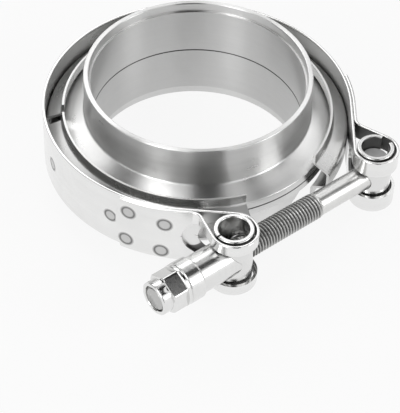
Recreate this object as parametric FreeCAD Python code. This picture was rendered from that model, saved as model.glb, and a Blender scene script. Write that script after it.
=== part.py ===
import FreeCAD, Part
import math
import os

# A V-band exhaust clamp, closed loosely round its pair of weld flanges.
#
# Frame: Z is the pipe's axis, +Z up; the origin is on that axis, in the plane
# where the two flanges meet. The clamp's opening faces -Y and its bolt runs
# along X, with the nut at -X. Angles round the ring are counted from the
# middle of the opening (-Y), positive towards +X.

Vector = FreeCAD.Vector
os.makedirs("parts", exist_ok=True)

# --- pipe flanges ---------------------------------------------------------
NECK_OD = 69.8            # the 2.75 in pipe that the flanges are welded to
NECK_R = NECK_OD / 2
BORE_R = 32.7
SOCKET_R = 33.3           # shallow counterbore in the neck's open end
SOCKET_DEPTH = 3.0
FLANGE_HEIGHT = 18.6      # from the joint plane to the neck's open end
RIM_R = 42.2              # the rim that the V-segments pull together
RIM_EDGE_HEIGHT = 2.7     # the rim's straight outer edge
RIM_CONE_DEG = 20.0       # the slope on the rim's back
NECK_FILLET = 0.8         # between that slope and the neck
JOINT_CHAMFER = 0.35      # broken edge of the bore and the rim at the joint
MOUTH_CHAMFER = 0.3

# --- strap and V-segments -------------------------------------------------
CLAMP_OFFSET = Vector(-1.74, -2.07, 0)   # the loose clamp hangs off centre
STRAP_WIDTH = 20.0
STRAP_THICKNESS = 0.9
BAND_OUTER_R = 47.4       # round the ring, where the strap is single
LAYER_GAP = 0.06          # between the strap and its folded-back end
FOLD_END_DEG = 66.5       # where the folded-back end stops, at its edges
FOLD_END_BULGE = 1.6      # how far the end's middle reaches past its edges
FOLD_END_TRIM_DEG = 4.0   # extra length that the end's round is cut from
FOLD_BEND_R = 3.4         # where the folded-back end leaves the strap under it
FOLD_RUN = 2.4            # how far it follows that strap past the ring
SPOT_WELD_R = 2.3
SPOT_WELD_DEGS = (50.2, 63.4)
SPOT_WELD_Z = 5.2

SEGMENT_THICKNESS = 0.8
SEGMENT_BASE_HALF = 2.5   # half of the channel's flat inner base
SEGMENT_LEG_DEG = 22.0    # the legs' slope from the ring's plane
SEGMENT_LIP_R = 40.7      # the lips' inner radius
SEGMENT_LIP_Z = 8.3       # the lips' outer edge
SEGMENT_BEND_R = 0.9      # inside radius of each bend
FRONT_SEGMENT_DEGS = (19.0, 122.5)
REAR_SEGMENT_DEGS = (127.0, 233.0)

# --- trunnion barrels in the strap's loops --------------------------------
NUT_BARREL_X = -26.2
BOLT_BARREL_X = 28.7
BARREL_Y = -48.9
BARREL_HEIGHT = 20.8
NUT_BARREL_R = 5.85
BOLT_BARREL_R = 5.55
BARREL_WALL = 1.35
LOOP_CLEARANCE = 0.4
LOOP_DROP = 0.3           # the loops stand off the barrels' outer side
NUT_SEAM = 0.6            # seam of the rolled barrel on the nut's side
BOLT_GAP_DEGS = (-16.0, 24.0)  # open gap of the rolled barrel, round from +X
NUT_SLOT_HALF = 6.4       # half heights of the windows in the strap's loops
BOLT_SLOT_HALF = 4.5
SLOT_FOLD_END_DEG = 44.2  # where the windows end in the folded-back layer
SLOT_RING_END_DEG = 38.5  # and in the layer that joins the ring
SLOT_REACH = 14.0         # from a window's end towards the barrel
SLOT_DEPTH = 20.0

# --- bolt, sleeve, collar and nut, along X ---------------------------------
THREAD_R = 3.95           # 5/16-24 UNF
SHANK_R = 3.6
BOLT_HOLE_R = 4.15
NUT_BORE_R = 4.0
THREAD_START_X = 5.5      # the shank ends here
BOLT_TIP_X = -54.0
BOLT_TIP_CHAMFER = 0.6
SHANK_HOLE_R = 3.75
HEAD_DEPTH = 3.4          # the T-head, a segment that fills the barrel's bore
HEAD_HALF_HEIGHT = 6.2
HEAD_CLEARANCE = 0.08
SADDLE_CLEARANCE = 0.03   # between the sleeve's end and the barrel
SLEEVE_R = 5.8
SLEEVE_END_X = -41.0
COLLAR_R = 6.45
COLLAR_END_X = -45.9
NUT_FLANGE_R = 6.4
NUT_FLANGE_END_X = -47.1
NUT_FLATS = 11.11         # 7/16 in across flats
NUT_HEX_END_X = -52.0
NUT_RING_R = 5.2
NUT_RING_BORE_R = 4.35
NUT_END_X = -55.0
NUT_RECESS_DEPTH = 1.6
EDGE_ROUND = 0.35

TINY = 1e-6
Z_AXIS = Vector(0, 0, 1)
X_AXIS = Vector(1, 0, 0)
BAND_MID_R = BAND_OUTER_R - STRAP_THICKNESS / 2
BAND_INNER_R = BAND_OUTER_R - STRAP_THICKNESS
FOLD_MID_R = BAND_OUTER_R + LAYER_GAP + STRAP_THICKNESS / 2
FOLD_OUTER_R = FOLD_MID_R + STRAP_THICKNESS / 2


def ring_point(radius, degrees, z=0.0):
    """A point at an angle counted from the opening, in the clamp's frame."""
    turn = math.radians(degrees)
    return Vector(radius * math.sin(turn), -radius * math.cos(turn), z)


def save(node, shape):
    """Check that a piece is sound and write it to its own file."""
    shape = shape.removeSplitter()
    if not shape.isValid() or shape.Volume <= 0:
        raise ValueError("unsound shape: " + node)
    shape.exportStep("parts/" + node + ".step")


def save_on_clamp(node, shape):
    """Write a piece that was drawn in the clamp's own frame."""
    save(node, shape.translated(CLAMP_OFFSET))


def polygon_face(points):
    """A flat face inside straight edges."""
    return Part.Face(Part.makePolygon(points + [points[0]]))


def rod(radius, x_start, x_end, y=BARREL_Y, z=0.0):
    """A cylinder along X between two places."""
    low = min(x_start, x_end)
    return Part.makeCylinder(radius, abs(x_end - x_start), Vector(low, y, z), X_AXIS)


# --- flanges --------------------------------------------------------------

def flange():
    """The upper flange: bore, counterbored neck and sloping rim, turned in one."""
    slope = math.tan(math.radians(RIM_CONE_DEG))
    cone_top = RIM_EDGE_HEIGHT + (RIM_R - NECK_R) * slope
    section = [
        Vector(BORE_R + JOINT_CHAMFER, 0, 0),
        Vector(RIM_R - JOINT_CHAMFER, 0, 0),
        Vector(RIM_R, 0, JOINT_CHAMFER),
        Vector(RIM_R, 0, RIM_EDGE_HEIGHT),
        Vector(NECK_R, 0, cone_top),
        Vector(NECK_R, 0, FLANGE_HEIGHT - MOUTH_CHAMFER),
        Vector(NECK_R - MOUTH_CHAMFER, 0, FLANGE_HEIGHT),
        Vector(SOCKET_R + MOUTH_CHAMFER, 0, FLANGE_HEIGHT),
        Vector(SOCKET_R, 0, FLANGE_HEIGHT - MOUTH_CHAMFER),
        Vector(SOCKET_R, 0, FLANGE_HEIGHT - SOCKET_DEPTH),
        Vector(BORE_R, 0, FLANGE_HEIGHT - SOCKET_DEPTH),
        Vector(BORE_R, 0, JOINT_CHAMFER),
    ]
    turned = polygon_face(section).revolve(Vector(0, 0, 0), Z_AXIS, 360)

    def at_neck_root(edge):
        box = edge.BoundBox
        return abs(box.ZMax - cone_top) < 0.01 and abs(box.ZMin - cone_top) < 0.01

    root = [edge for edge in turned.Edges if at_neck_root(edge)]
    return turned.makeFillet(NECK_FILLET, root)


# --- bent strip: one centre line of tangent arcs ---------------------------

class Bend:
    """An arc of a strip's centre line; turn is +1 to the left, -1 to the right."""

    def __init__(self, centre, radius, turn):
        self.centre = centre
        self.radius = radius
        self.turn = turn


def tangent_heading(first, second):
    """The heading, in radians, of the straight run from one bend to the next."""
    span = second.centre - first.centre
    offset = second.turn * second.radius - first.turn * first.radius
    return math.atan2(span.y, span.x) - math.asin(offset / span.Length)


def bend_point(bend, heading, offset=0.0):
    """Where a bend's side, offset to the left, has the given heading."""
    left = Vector(-math.sin(heading), math.cos(heading), 0)
    return bend.centre - left * (bend.turn * bend.radius - offset)


def direction(heading):
    """The unit vector of a heading in radians."""
    return Vector(math.cos(heading), math.sin(heading), 0)


def add_run(edges, start, end):
    """Add a straight edge, unless the arcs on both sides of it already meet."""
    if start.distanceToPoint(end) > TINY:
        edges.append(Part.LineSegment(start, end).toShape())


def strip_face(bends, start_heading, end_heading, thickness, end_run=0.0):
    """The outline of a strip that follows tangent arcs joined by straight runs."""
    joins = [tangent_heading(a, b) for a, b in zip(bends, bends[1:])]
    entries = [start_heading] + joins
    exits = joins + [end_heading]
    sides = []
    for offset in (thickness / 2, -thickness / 2):
        edges = []
        last = bend_point(bends[0], start_heading, offset) - direction(start_heading) * end_run
        for bend, enter, leave in zip(bends, entries, exits):
            sweep = (leave - enter) * bend.turn % (2 * math.pi) * bend.turn
            first = bend_point(bend, enter, offset)
            middle = bend_point(bend, enter + sweep / 2, offset)
            final = bend_point(bend, enter + sweep, offset)
            add_run(edges, last, first)
            edges.append(Part.Arc(first, middle, final).toShape())
            last = final
        add_run(edges, last, last + direction(end_heading) * end_run)
        sides.append(edges)
    left, right = sides
    caps = [
        Part.LineSegment(left[-1].lastVertex(True).Point, right[-1].lastVertex(True).Point),
        Part.LineSegment(right[0].firstVertex(True).Point, left[0].firstVertex(True).Point),
    ]
    edges = left + right + [cap.toShape() for cap in caps]
    return Part.Face(Part.Wire(Part.__sortEdges__(edges)))


def barrel_x(side):
    """Where a barrel stands: side is -1 for the nut's and +1 for the bolt's."""
    return NUT_BARREL_X if side < 0 else BOLT_BARREL_X


def loop_bend(side, barrel_r):
    """The loop round a barrel, hanging a little off its outer side."""
    middle = Vector(barrel_x(side), BARREL_Y - LOOP_DROP, 0)
    return Bend(middle, barrel_r + LOOP_CLEARANCE + STRAP_THICKNESS / 2, 1)


def leave_deg(loop):
    """The angle at which the strap leaves the ring for a loop."""
    from_opening = math.atan2(abs(loop.centre.x), -loop.centre.y)
    spread = math.acos((BAND_MID_R + loop.radius) / loop.centre.Length)
    return math.degrees(from_opening + spread)


def fold_bend(side, loop):
    """The bend where the folded-back end leaves the strap for the loop."""
    start = side * leave_deg(loop)
    along = ring_point(1, start - side * 90)
    return Bend(ring_point(FOLD_MID_R + FOLD_BEND_R, start) + along * FOLD_RUN, FOLD_BEND_R, -1)


def strip(bends, start_heading, end_heading):
    """A full-width strip that follows a centre line."""
    plan = strip_face(bends, start_heading, end_heading, STRAP_THICKNESS)
    plan.translate(Vector(0, 0, -STRAP_WIDTH / 2))
    return plan.extrude(Vector(0, 0, STRAP_WIDTH))


def slot_cutter(loop, side, end_deg, half_height):
    """A loop's window, seen along the radius, with a half round at its end."""
    outward = ring_point(1, side * end_deg)
    along = ring_point(1, side * (end_deg - 90))
    centre = outward * (BAND_MID_R - FOLD_BEND_R) + along * half_height
    nose = Part.makeCylinder(half_height, SLOT_DEPTH, centre, outward)
    low = centre - Vector(0, 0, half_height)
    outline = [low, low + along * SLOT_REACH]
    outline += [point + Vector(0, 0, 2 * half_height) for point in reversed(outline)]
    passage = polygon_face(outline).extrude(outward * SLOT_DEPTH)
    foot = loop.centre - Vector(0, 0, half_height)
    window = Part.makeCylinder(loop.radius + STRAP_THICKNESS, 2 * half_height, foot)
    return nose.fuse([passage, window])


def fold_end_trim(side):
    """What is cut from a folded-back end, so that its middle bulges past its corners."""
    half = STRAP_WIDTH / 2
    radius = (half ** 2 + FOLD_END_BULGE ** 2) / (2 * FOLD_END_BULGE)
    tip_deg = FOLD_END_DEG + math.degrees(FOLD_END_BULGE / FOLD_OUTER_R)
    outward = ring_point(1, side * FOLD_END_DEG)
    along = ring_point(1, side * (tip_deg - 90))
    depth = 3 * STRAP_THICKNESS
    foot = ring_point(FOLD_MID_R, side * tip_deg) - outward * depth / 2
    keep = Part.makeCylinder(radius, depth, foot + along * radius, outward)
    back = foot - along * depth
    reach = along * (depth + 2 * FOLD_END_BULGE)
    outline = [back - Vector(0, 0, half + 1), back - Vector(0, 0, half + 1) + reach]
    outline += [point + Vector(0, 0, 2 * half + 2) for point in reversed(outline)]
    return polygon_face(outline).extrude(outward * depth).cut(keep)


def spot_welds(side):
    """The nuggets that join the folded-back end to the strap under it."""
    nuggets = []
    for degrees in SPOT_WELD_DEGS:
        outward = ring_point(1, side * degrees)
        for z in (-SPOT_WELD_Z, SPOT_WELD_Z):
            foot = outward * BAND_MID_R + Vector(0, 0, z)
            nuggets.append(Part.makeCylinder(SPOT_WELD_R, STRAP_THICKNESS, foot, outward))
    return nuggets


def strap():
    """The strap: a ring, a windowed loop round each barrel, and welded folded ends."""
    loops = {-1: loop_bend(-1, NUT_BARREL_R), 1: loop_bend(1, BOLT_BARREL_R)}
    slots = {-1: NUT_SLOT_HALF, 1: BOLT_SLOT_HALF}
    centre = Vector(0, 0, 0)
    ring = strip([loops[-1], Bend(centre, BAND_MID_R, -1), loops[1]], 0, 0)
    pieces = []
    for side, loop in loops.items():
        ring = ring.cut(slot_cutter(loop, side, SLOT_RING_END_DEG, slots[side]))
        chain = [loop, fold_bend(side, loop), Bend(centre, FOLD_MID_R, 1)]
        headings = [0, math.radians(side * (FOLD_END_DEG + FOLD_END_TRIM_DEG))]
        if side < 0:
            chain.reverse()
            headings.reverse()
        fold = strip(chain, *headings)
        fold = fold.cut(slot_cutter(loop, side, SLOT_FOLD_END_DEG, slots[side]))
        pieces.append(fold.cut(fold_end_trim(side)))
        pieces += spot_welds(side)
    return ring.fuse(pieces)


# --- V-segments -----------------------------------------------------------

def channel_section():
    """The pressed channel: two lips, two sloping legs and a flat base."""
    half = SEGMENT_THICKNESS / 2
    radius = SEGMENT_BEND_R + half
    slope = math.radians(SEGMENT_LEG_DEG)
    tuck = math.tan((math.pi / 2 - slope) / 2)
    base_r = BAND_INNER_R - half
    lip_r = SEGMENT_LIP_R + half
    base_corner_z = SEGMENT_BASE_HALF + half * tuck
    lip_corner_z = base_corner_z + (base_r - lip_r) * math.tan(slope)
    base_z = base_corner_z - radius * tuck
    lip_z = lip_corner_z + radius * tuck
    bends = [
        Bend(Vector(lip_r + radius, lip_z, 0), radius, 1),
        Bend(Vector(base_r - radius, base_z, 0), radius, -1),
        Bend(Vector(base_r - radius, -base_z, 0), radius, -1),
        Bend(Vector(lip_r + radius, -lip_z, 0), radius, 1),
    ]
    down = -math.pi / 2
    section = strip_face(bends, down, down, SEGMENT_THICKNESS, SEGMENT_LIP_Z - lip_z)
    section.rotate(Vector(0, 0, 0), X_AXIS, 90)
    return section


def v_segment(start_deg, end_deg):
    """A V-segment between two angles counted from the opening."""
    section = channel_section()
    section.rotate(Vector(0, 0, 0), Z_AXIS, start_deg - 90)
    return section.revolve(Vector(0, 0, 0), Z_AXIS, end_deg - start_deg)


# --- barrels and bolt -----------------------------------------------------

def barrel(side, radius):
    """A plain trunnion barrel, open at both ends, with softened rims."""
    foot = Vector(barrel_x(side), BARREL_Y, -BARREL_HEIGHT / 2)
    tube = Part.makeCylinder(radius, BARREL_HEIGHT, foot)
    tube = tube.cut(Part.makeCylinder(radius - BARREL_WALL, BARREL_HEIGHT, foot))
    rims = [edge for edge in tube.Edges if isinstance(edge.Curve, Part.Circle)]
    return tube.makeFillet(EDGE_ROUND, rims)


def wedge(side, radius, first_deg, last_deg):
    """A wedge from a barrel's axis, between two directions round from +X."""
    foot = Vector(barrel_x(side), BARREL_Y, -BARREL_HEIGHT)
    turn = last_deg - first_deg
    blade = Part.makeCylinder(2 * radius, 2 * BARREL_HEIGHT, foot, Z_AXIS, turn)
    blade.rotate(foot, Z_AXIS, first_deg)
    return blade


def nut_trunnion():
    """The rolled barrel that the bolt passes through, seamed towards the nut."""
    seam = Part.makeBox(2 * NUT_BARREL_R, NUT_SEAM, 2 * BARREL_HEIGHT)
    near_x = NUT_BARREL_X - 2 * NUT_BARREL_R
    seam.translate(Vector(near_x, BARREL_Y, -BARREL_HEIGHT))
    hole = rod(BOLT_HOLE_R, near_x, NUT_BARREL_X + 2 * NUT_BARREL_R)
    return barrel(-1, NUT_BARREL_R).cut([seam, hole])


def bolt_trunnion():
    """The open rolled barrel that holds the bolt's T-head."""
    gap = wedge(1, BOLT_BARREL_R, *BOLT_GAP_DEGS)
    hole = rod(SHANK_HOLE_R, BOLT_BARREL_X - 2 * BOLT_BARREL_R, BOLT_BARREL_X)
    return barrel(1, BOLT_BARREL_R).cut([gap, hole])


def t_bolt():
    """The T-bolt: a head that lies along the barrel's bore, a shank and a thread."""
    head_r = BOLT_BARREL_R - BARREL_WALL - HEAD_CLEARANCE
    foot = Vector(BOLT_BARREL_X, BARREL_Y, -HEAD_HALF_HEIGHT)
    head = Part.makeCylinder(head_r, 2 * HEAD_HALF_HEIGHT, foot)
    back_x = BOLT_BARREL_X - head_r + HEAD_DEPTH
    beyond = Part.makeBox(head_r * 2, head_r * 4, HEAD_HALF_HEIGHT * 4)
    beyond.translate(Vector(back_x, BARREL_Y - 2 * head_r, -2 * HEAD_HALF_HEIGHT))
    head = head.cut(beyond)
    ends = [edge for edge in head.Edges if abs(edge.BoundBox.ZLength) < TINY]
    head = head.makeFillet(EDGE_ROUND, ends)
    profile = [
        Vector(BOLT_TIP_X, 0, 0),
        Vector(BOLT_TIP_X, THREAD_R - BOLT_TIP_CHAMFER, 0),
        Vector(BOLT_TIP_X + BOLT_TIP_CHAMFER, THREAD_R, 0),
        Vector(THREAD_START_X, THREAD_R, 0),
        Vector(THREAD_START_X + THREAD_R - SHANK_R, SHANK_R, 0),
        Vector(back_x, SHANK_R, 0),
        Vector(back_x, 0, 0),
    ]
    stem = polygon_face(profile).revolve(Vector(0, 0, 0), X_AXIS, 360)
    stem.translate(Vector(0, BARREL_Y, 0))
    return head.fuse(stem)


# --- sleeve, collar and lock nut -------------------------------------------

def ring_along_x(radius, bore_r, x_near, x_far):
    """A plain ring on the bolt with its outer edges softened."""
    body = rod(radius, x_near, x_far)
    rims = [edge for edge in body.Edges if isinstance(edge.Curve, Part.Circle)]
    return body.makeFillet(EDGE_ROUND, rims).cut(rod(bore_r, x_near, x_far))


def spacer_sleeve():
    """The sleeve, with a saddle end that seats on the nut-side barrel."""
    body = rod(SLEEVE_R, NUT_BARREL_X, SLEEVE_END_X)
    body = body.cut(rod(BOLT_HOLE_R, NUT_BARREL_X, SLEEVE_END_X))
    foot = Vector(NUT_BARREL_X, BARREL_Y, -BARREL_HEIGHT / 2)
    return body.cut(Part.makeCylinder(NUT_BARREL_R + SADDLE_CLEARANCE, BARREL_HEIGHT, foot))


def hexagon():
    """The nut's hexagon, with corners up and down and its outer end chamfered."""
    corner_r = NUT_FLATS / 2 / math.cos(math.pi / 6)
    corners = []
    for index in range(6):
        turn = math.pi / 6 + index * math.pi / 3
        offset = Vector(0, corner_r * math.cos(turn), corner_r * math.sin(turn))
        corners.append(Vector(NUT_HEX_END_X, BARREL_Y, 0) + offset)
    length = NUT_FLANGE_END_X - NUT_HEX_END_X
    prism = polygon_face(corners).extrude(Vector(length, 0, 0))
    end = Vector(NUT_HEX_END_X, BARREL_Y, 0)
    nose = Part.makeCone(NUT_RING_R, NUT_RING_R + 2 * length, length, end, X_AXIS)
    return prism.common(nose)


def lock_nut():
    """The flanged lock nut: base flange, hexagon and a crimped locking ring."""
    flange_disc = rod(NUT_FLANGE_R, COLLAR_END_X, NUT_FLANGE_END_X)
    ring = rod(NUT_RING_R, NUT_HEX_END_X, NUT_END_X)
    far_rim = [edge for edge in ring.Edges if abs(edge.BoundBox.XMax - NUT_END_X) < TINY]
    body = flange_disc.fuse([hexagon(), ring.makeFillet(EDGE_ROUND, far_rim)])
    recess = rod(NUT_RING_BORE_R, NUT_END_X, NUT_END_X + NUT_RECESS_DEPTH)
    return body.cut([rod(NUT_BORE_R, COLLAR_END_X, NUT_END_X), recess])


upper = flange()
save("upper_flange", upper)
save("lower_flange", upper.mirror(Vector(0, 0, 0), Z_AXIS))
save_on_clamp("band_strap", strap())
near_deg, far_deg = FRONT_SEGMENT_DEGS
save_on_clamp("v_segment_nut_side", v_segment(-far_deg, -near_deg))
save_on_clamp("v_segment_bolt_side", v_segment(near_deg, far_deg))
save_on_clamp("v_segment_rear", v_segment(*REAR_SEGMENT_DEGS))
save_on_clamp("nut_trunnion", nut_trunnion())
save_on_clamp("bolt_trunnion", bolt_trunnion())
save_on_clamp("t_bolt", t_bolt())
save_on_clamp("spacer_sleeve", spacer_sleeve())
save_on_clamp("thrust_collar", ring_along_x(COLLAR_R, BOLT_HOLE_R, SLEEVE_END_X, COLLAR_END_X))
save_on_clamp("lock_nut", lock_nut())
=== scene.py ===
"""Dresses a V-band exhaust clamp and the two weld flanges that it holds.

Everything is in metres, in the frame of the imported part: Z is the pipe's axis, the
origin is in the plane where the flanges meet, the clamp's opening faces -Y and its
bolt lies along X, with the nut at -X. Angles round the ring are counted from the
middle of the opening, positive towards +X.
"""

import math

import bmesh
import bpy
import numpy as np
from mathutils import Matrix, Vector


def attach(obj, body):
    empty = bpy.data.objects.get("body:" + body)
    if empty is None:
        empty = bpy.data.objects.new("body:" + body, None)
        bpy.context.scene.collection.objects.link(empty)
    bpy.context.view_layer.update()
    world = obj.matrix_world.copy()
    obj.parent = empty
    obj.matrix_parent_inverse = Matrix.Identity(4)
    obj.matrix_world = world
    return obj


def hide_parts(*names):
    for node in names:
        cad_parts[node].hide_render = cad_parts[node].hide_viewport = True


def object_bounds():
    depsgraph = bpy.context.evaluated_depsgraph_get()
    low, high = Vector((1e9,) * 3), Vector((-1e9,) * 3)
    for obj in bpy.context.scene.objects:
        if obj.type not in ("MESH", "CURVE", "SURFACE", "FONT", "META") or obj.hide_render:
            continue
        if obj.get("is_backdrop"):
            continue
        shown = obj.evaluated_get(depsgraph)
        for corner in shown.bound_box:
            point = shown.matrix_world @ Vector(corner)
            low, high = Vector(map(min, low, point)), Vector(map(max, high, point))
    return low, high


bl_info = {
    "name": "V-Band Clamp",
    "version": (1, 0, 0),
    "blender": (4, 5, 0),
    "location": "View3D > Sidebar > V-Band",
    "description": "Builds a V-band exhaust clamp round its pair of weld flanges",
    "category": "Add Mesh",
}

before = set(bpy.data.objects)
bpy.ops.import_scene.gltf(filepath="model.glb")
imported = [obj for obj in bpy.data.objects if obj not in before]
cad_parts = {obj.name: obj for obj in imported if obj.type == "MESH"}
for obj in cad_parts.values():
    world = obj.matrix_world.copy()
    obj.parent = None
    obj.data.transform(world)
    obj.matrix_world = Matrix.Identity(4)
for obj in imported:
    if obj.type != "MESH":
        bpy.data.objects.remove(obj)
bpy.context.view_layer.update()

MM = 0.001
MAIN_BODY = "clamp_and_flanges"
COLLAR_BODY = "collar"
NUT_BODY = "nut"
WELD_DISTANCE = 0.5e-6         # points closer than this are one
EDGE_TURNS = (90, 112, 135, 158, 180)    # where the round of an edge is divided

# How many steps go round each piece, and how long the steps along a sheet's line are
AROUND = 240
FLANGE_STEPS = 256
COLLAR_STEPS = 160
SEGMENT_STEPS = 150
HEAD_STEPS = 64
THREAD_ROWS, THREAD_COLUMNS = 780, 72
STRAP_STEP = 0.02 * MM
CHANNEL_STEP = 0.16 * MM

# Fine lines: how many to a metre, how many times longer than wide, and how deep
TURNED_GRAIN = (5200, 60, 0.003 * MM)
STRIP_GRAIN = (3600, 400, 0.003 * MM)
CHANNEL_GRAIN = (3000, 300, 0.004 * MM)
BARREL_GRAIN = (3800, 80, 0.003 * MM)
THREAD_GRAIN = (4600, 50, 0.005 * MM)
COLLAR_GRAIN = (5600, 60, 0.003 * MM)
NUT_GRAIN = (5600, 60, 0.002 * MM)

# The clamp is drawn round its own axis, and then moved by this much.
CLAMP_X = -1.74 * MM
CLAMP_Y = -2.07 * MM
CLAMP_AXIS = (CLAMP_X, CLAMP_Y, 0.0)
PIPE_AXIS = (0.0, 0.0, 0.0)

# Flanges: where the dark line at the joint and the painted shade in the bore fade, and where they end
BORE_R = 32.7 * MM
JOINT_FADE = (0.16 * MM, 0.32 * MM)
BORE_FADE = (BORE_R + 0.1 * MM, BORE_R + 0.8 * MM)

# Loops and barrels
NUT_BARREL_X = -26.2 * MM
BOLT_BARREL_X = 28.7 * MM
BARREL_Y = -48.9 * MM
NUT_BARREL_R = 5.85 * MM
BOLT_BARREL_R = 5.55 * MM
BARREL_WALL = 1.35 * MM
LOOP_CLEARANCE = 0.4 * MM
LOOP_DROP = 0.3 * MM
FITTING_REACH = 5 * MM         # where the way round a barrel or the bolt is measured

# Strap
STRAP_R = 47.4 * MM
LAYER_GAP = 0.06 * MM
FOLD_END_DEG = 66.5
FOLD_END_BULGE = 1.6 * MM
FOLD_END_REACH = 6.0 * MM      # the stretch over which the end takes its bow
FOLD_BEND_R = 3.4 * MM
FOLD_RUN = 2.4 * MM            # how far the folded end follows the layer under it
BOLT_FOLD_RUN = 7.0 * MM
NUT_WINDOW_HALF = 6.4 * MM
BOLT_WINDOW_HALF = 4.5 * MM
LEAST_WINDOW_HALF = 0.02 * MM
WINDOW_FOLD_END_DEG = 44.2
WINDOW_RING_END_DEG = 38.5
WINDOW_SPOT_DEG = 40.9         # the round spot in each window that is left out of the painted shade
WINDOW_SPOT_Z = -0.8 * MM
WINDOW_SPOT_R = 3.6 * MM
PAINTED_SHADE_END_DEG = 58.0          # how far the painted shade reaches on the layers' inner sides
STATION_RUN = 1.6 * MM         # the longest stretch of strip between two stations
STATION_TURN = math.radians(2.0)
LEAST_STATION = 0.015 * MM
NOSE_STATIONS = 13
FLATS = (0.0, 0.03, 0.2, 0.4, 0.6, 0.8, 0.97, 1.0)
EDGE_STEPS = 4
# The strip's finishes: bright, painted shade, and the darker inner side on the ring.
BRIGHT_COAT, PAINTED_SHADE_COAT, INNER_COAT = range(3)

# Weld marks: the angle from the opening in degrees, and the height in millimetres
FOLD_MARKS = ((50.2, 3.9), (51.4, -7.1), (63.4, 5.3), (64.4, -6.0))
FOLD_MARK_R = 2.35 * MM
RING_MARKS = ((71.3, 0), (105.5, 0), (142.0, 0), (180.0, 0))
RING_MARK_R = 2.2 * MM
MARK_DEPTH = 0.16 * MM

# V-segments: the angles from and to, in degrees from the opening
SEGMENTS = (("nut_side", -122.5, -19.0), ("bolt_side", 19.0, 122.5), ("rear", 127.0, 233.0))

# Places along the bolt, from the clamp's middle
BOLT_AXIS = (CLAMP_X, CLAMP_Y + BARREL_Y, 0.0)
BOLT_TIP_X = -54.8 * MM
THREAD_START_X = 5.5 * MM
THREAD_FADE = (3.42 * MM, 4.12 * MM)     # the radii between which the painted shade in the grooves fades
HEAD_CLEARANCE = 0.08 * MM
HEAD_BEVEL = 0.5 * MM
SLEEVE_R = 5.8 * MM
SLEEVE_END_X = -41.0 * MM
SEAT_CLEARANCE = 0.03 * MM
COLLAR_END_X = -45.9 * MM
NUT_BASE_END_X = -47.1 * MM
NUT_HEX_END_X = -52.0 * MM
NUT_END_X = -55.0 * MM
NUT_RECESS_DEPTH = 1.6 * MM
NUT_CRIMP_DEPTH = 0.14 * MM
BOLT_HOLE_R = 4.15 * MM
ROUND, HEXAGON, CRIMPED = range(3)

# Cards that the steel mirrors: the angles from and to round the table, counted
# from the camera and positive to its right, and from and to above the table.
CARDS = ((82, 126, 44, 78),)
# Dark streaks: the flange's places from and to, and the card's arc over the table.
STREAKS = ((-2, 14, 0, 170), (-44, -28, 60, 150), (26, 34, 60, 150), (-78, -42, -5, 32),
           (57, 88, -5, 32), (88, 104, 32, 70), (-114, -96, 18, 48))
CARD_REACH = 1.6
CARD_STEPS = 12
VIEW_LEVEL = 0.743             # the level part of the way from the joint to the camera
# Soft lamps: the angle round the table, the lift, the width, the height and the level.
LAMPS = (("left_lamp", -37, 36, 0.4, 0.8, 3.5), ("right_lamp", 70, 28, 0.4, 0.5, 3.4),
         ("back_lamp", -168, 46, 0.5, 0.5, 1.02), ("back_left_lamp", -140, 46, 0.3, 0.45, 1.3),
         ("back_right_lamp", 144, 46, 0.3, 0.4, 1.05), ("top_lamp", -138, 76, 0.16, 0.16, 3.5))
LAMP_REACH = 1.2
FLOOR_REACH = 3.0
FLOOR_SHOWN_WHITE = 0.89       # how far the floor is seen as plain white
WHITE = (1, 1, 1, 1)


# --- settings that a user would change --------------------------------------

def length(name, description, millimetres):
    """A size in metres with its default given in millimetres."""
    return bpy.props.FloatProperty(
        name=name, description=description, default=millimetres * MM,
        min=0.0, precision=5, unit="LENGTH")


def angle(name, description, radians):
    """An angle."""
    return bpy.props.FloatProperty(
        name=name, description=description, default=radians, subtype="ANGLE")


def share(name, description, default):
    """A plain share between nothing and all."""
    return bpy.props.FloatProperty(
        name=name, description=description, default=default, min=0.0, max=1.0,
        subtype="FACTOR")


def shade(name, description, red, green, blue):
    """A colour in linear light."""
    return bpy.props.FloatVectorProperty(
        name=name, description=description, default=(red, green, blue), size=3,
        min=0.0, max=1.0, subtype="COLOR")


class FlangeSizes(bpy.types.PropertyGroup):
    """Sizes of the two turned weld flanges."""

    neck_radius: length("Neck radius", "Outer radius of the neck that the pipe is welded to", 34.9)
    bore_radius: length("Bore radius", "Radius of the gas path", BORE_R / MM)
    socket_radius: length("Socket radius", "Radius of the shallow counterbore in the neck", 33.3)
    socket_depth: length("Socket depth", "Depth of the counterbore", 3.0)
    height: length("Height", "From the joint to the neck's open end", 18.6)
    rim_radius: length("Rim radius", "Outer radius of the rim under the clamp", 42.2)
    rim_edge: length("Rim edge", "Height of the rim's straight outer edge", 2.7)
    rim_slope: angle("Rim slope", "Slope of the rim's back", math.radians(20))
    neck_fillet: length("Neck fillet", "Radius between the neck and the rim's back", 0.8)
    edge_round: length("Edge round", "Radius of the turned edges", 0.3)


class StrapSizes(bpy.types.PropertyGroup):
    """Sizes of the strap."""

    radius: length("Radius", "Outer radius of the strap round the ring", STRAP_R / MM)
    thickness: length("Thickness", "Thickness of the sheet", 0.9)
    width: length("Width", "Width of the strap", 20.0)
    edge_round: length("Edge round", "Radius of the slit edges", 0.28)


class SegmentSizes(bpy.types.PropertyGroup):
    """Sizes of the pressed V-segments inside the strap."""

    thickness: length("Thickness", "Thickness of the sheet", 0.8)
    base_half: length("Half base", "Half of the channel's flat base", 2.5)
    leg_slope: angle("Leg slope", "Slope of the legs from the ring's plane", math.radians(22))
    lip_radius: length("Lip radius", "Inner radius of the lips", 40.7)
    lip_height: length("Lip height", "Height of the lips' edges", 8.3)
    bend_radius: length("Bend radius", "Inside radius of each bend", 0.9)


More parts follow.
